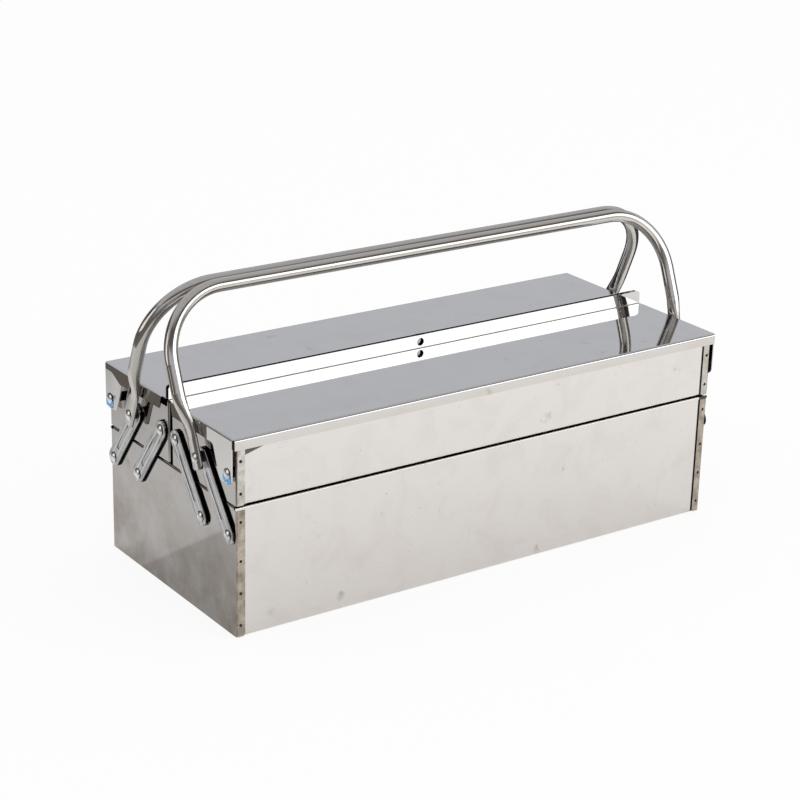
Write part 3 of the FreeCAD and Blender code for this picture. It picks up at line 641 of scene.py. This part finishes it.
ROOM, PAPER = 4.0, 1.15               # radius of the room that the metal shows, and where the paper ends in it
ROOM_ROUND, ROOM_UP = 64, 24          # points round the room, and up its dome,
ROOM_TOP = np.pi / 2 - 0.01           # which stops just short of its crown
CEILING = (0.52, 0.52, 0.53, 1)
SWEEP = (0.86, 0.84, 0.81, 1)         # white paper swept up in front on the right, below the softbox
FRONT_LEFT = (0.26, 0.245, 0.23, 1)   # dull foot of the wall in front on the left
SKIRTING_TOP = 0.13                   # this height, and the places below, are shares of the radius
WALL_TONES = ((0.27, (0.60, 0.61, 0.65, 1)), (0.42, (0.59, 0.60, 0.645, 1)), (0.70, (0.54, 0.545, 0.56, 1)))
FRONT_BANDS = (("Y", -0.15, -0.55), ("Z", 0.30, 0.18))
SWEEP_BANDS = (("X", -0.2, 0.1),)
OVER_BANDS = (("Y", 0.0, -0.25), ("Z", 0.45, 0.55), ("Z", 0.90, 0.74))     # above the softbox
LEFT_BANDS = (("X", -0.05, -0.4), ("Z", 0.6, 0.42), ("Y", -0.45, -0.15))   # the left wall, but not in front
NIGHT_BANDS = (("Z", 0.24, 0.32),)    # the left wall is nearly black above its foot


def within(tree, way, bands):
    """Share of a place in the room that lies in all the bands, each from none at its first value to all at
    its second."""
    inside = None
    for axis, none, full in bands:
        band = node(tree, "MapRange", {"From Min": none, "From Max": full}, {"Value": way.outputs[axis]})
        inside = node(tree, "Math", {"operation": "MULTIPLY"}, {0: inside, 1: band}) if inside else band
    return inside


def grey_room():
    """The room that the metal shows, and nothing else does: a dark floor beyond the paper, a dark skirting, a
    pale wall above it that is nearly black on the left and dark above the softbox, and a grey ceiling. In
    front the wall's foot is dull on the left and white paper on the right. One surface of revolution: a flat
    ring from the paper's edge out to the wall, then a half dome; its glow goes by the place over the radius."""
    turn = np.linspace(0, 2 * np.pi, ROOM_ROUND + 1)[:-1]
    rise = np.linspace(0, ROOM_TOP, ROOM_UP)
    out = np.concatenate([[PAPER], ROOM * np.cos(rise)])[:, None]
    up = np.concatenate([[0.0], ROOM * np.sin(rise)])[:, None]
    made = grid_mesh("grey_room", np.stack([out * np.cos(turn), out * np.sin(turn), up + 0 * turn], -1), True)
    material, tree, _, place = new_material("grey_room_paint")
    way = node(tree, "Mapping", {"Scale": (1 / ROOM,) * 3}, {"Vector": place})
    way = node(tree, "SeparateXYZ", links={"Vector": way})
    wall = node(tree, "ValToRGB", {"stops": [(0.0, SKIRTING), (1.0, CEILING), (SKIRTING_TOP, SKIRTING),
                                             *WALL_TONES]}, {"Fac": way.outputs["Z"]})
    front = node(tree, "Mix", {"data_type": "RGBA", FIRST: FRONT_LEFT, SECOND: SWEEP},
                 {MIX: within(tree, way, SWEEP_BANDS)})
    wall = node(tree, "Mix", {"data_type": "RGBA"},
                {MIX: within(tree, way, FRONT_BANDS), FIRST: wall, SECOND: front})
    wall = node(tree, "Mix", {"data_type": "RGBA", SECOND: SKIRTING},
                {MIX: within(tree, way, OVER_BANDS), FIRST: wall})
    dark = node(tree, "Mix", {"data_type": "RGBA", FIRST: SKIRTING, SECOND: NIGHT},
                {MIX: within(tree, way, NIGHT_BANDS)})
    wall = node(tree, "Mix", {"data_type": "RGBA"},
                {MIX: within(tree, way, LEFT_BANDS), FIRST: wall, SECOND: dark})
    glow = node(tree, "Emission", links={"Color": wall})
    tree.links.new(socket(glow), tree.nodes["Material Output"].inputs["Surface"])
    made.data.materials.append(material)
    made.visible_camera = made.visible_diffuse = made.visible_shadow = False


ROOM_LIGHT = 0.88   # even light from all round, beside the softbox


def studio_world():
    """White wherever it is seen, and an even white light for matt surfaces. It is left out of light sampling,
    so that it doesn't shine on the metal through the grey room."""
    world = bpy.data.worlds.new("studio")
    bpy.context.scene.world = world
    world.cycles.sampling_method = "NONE"
    world.use_nodes = True
    tree = world.node_tree
    tree.nodes.clear()
    path = node(tree, "LightPath")
    seen = node(tree, "Math", {"operation": "MAXIMUM"},
                {0: path.outputs["Is Camera Ray"], 1: path.outputs["Is Glossy Ray"]})
    seen = node(tree, "Math", {"operation": "MAXIMUM"}, {0: seen, 1: path.outputs["Is Transmission Ray"]})
    even = node(tree, "Background", {"Color": WHITE, "Strength": ROOM_LIGHT})
    white = node(tree, "Background", {"Color": WHITE, "Strength": 1.0})
    both = node(tree, "MixShader", links={0: seen, 1: even, 2: white})
    node(tree, "OutputWorld", links={"Surface": both})


TURN_DEG, TILT_DEG, ROLL_DEG = -35.15, 20.60, 1.48   # round the box from its front, down, and about the view
CAMERA_MM = (-915.8, -1277.7, 697.5)
FOCAL_PX, FRAME_PX, SENSOR_MM = 2191.5, 800, 36.0


def photo_camera():
    """Camera fitted to the photograph."""
    turn, tilt, roll = (math.radians(v) for v in (TURN_DEG, TILT_DEG, ROLL_DEG))
    back = Vector((math.sin(turn) * math.cos(tilt), -math.cos(turn) * math.cos(tilt), math.sin(tilt)))
    level = Vector((math.cos(turn), math.sin(turn), 0))
    upright = back.cross(level)
    right = math.cos(roll) * level + math.sin(roll) * upright
    up = -math.sin(roll) * level + math.cos(roll) * upright
    data = bpy.data.cameras.new("photo_camera")
    data.sensor_width, data.lens = SENSOR_MM, SENSOR_MM * FOCAL_PX / FRAME_PX
    made = bpy.data.objects.new("photo_camera", data)
    axes = Matrix((right, up, back)).transposed().to_4x4()
    made.matrix_world = Matrix.Translation(Vector(CAMERA_MM) * MM) @ axes
    bpy.context.scene.collection.objects.link(made)
    bpy.context.scene.camera = made


studio_floor()
soft_lamp("front_softbox", (1.09, -1.55, 0.88), width=2.0, height=0.85, radiance=1.8)
soft_lamp("left_card", (-2.1, 0.65, 0.60), width=1.0, height=1.4, radiance=1.0, lights_floor=False)
grey_room()
studio_world()
photo_camera()
bpy.context.scene.view_settings.view_transform = "Standard"
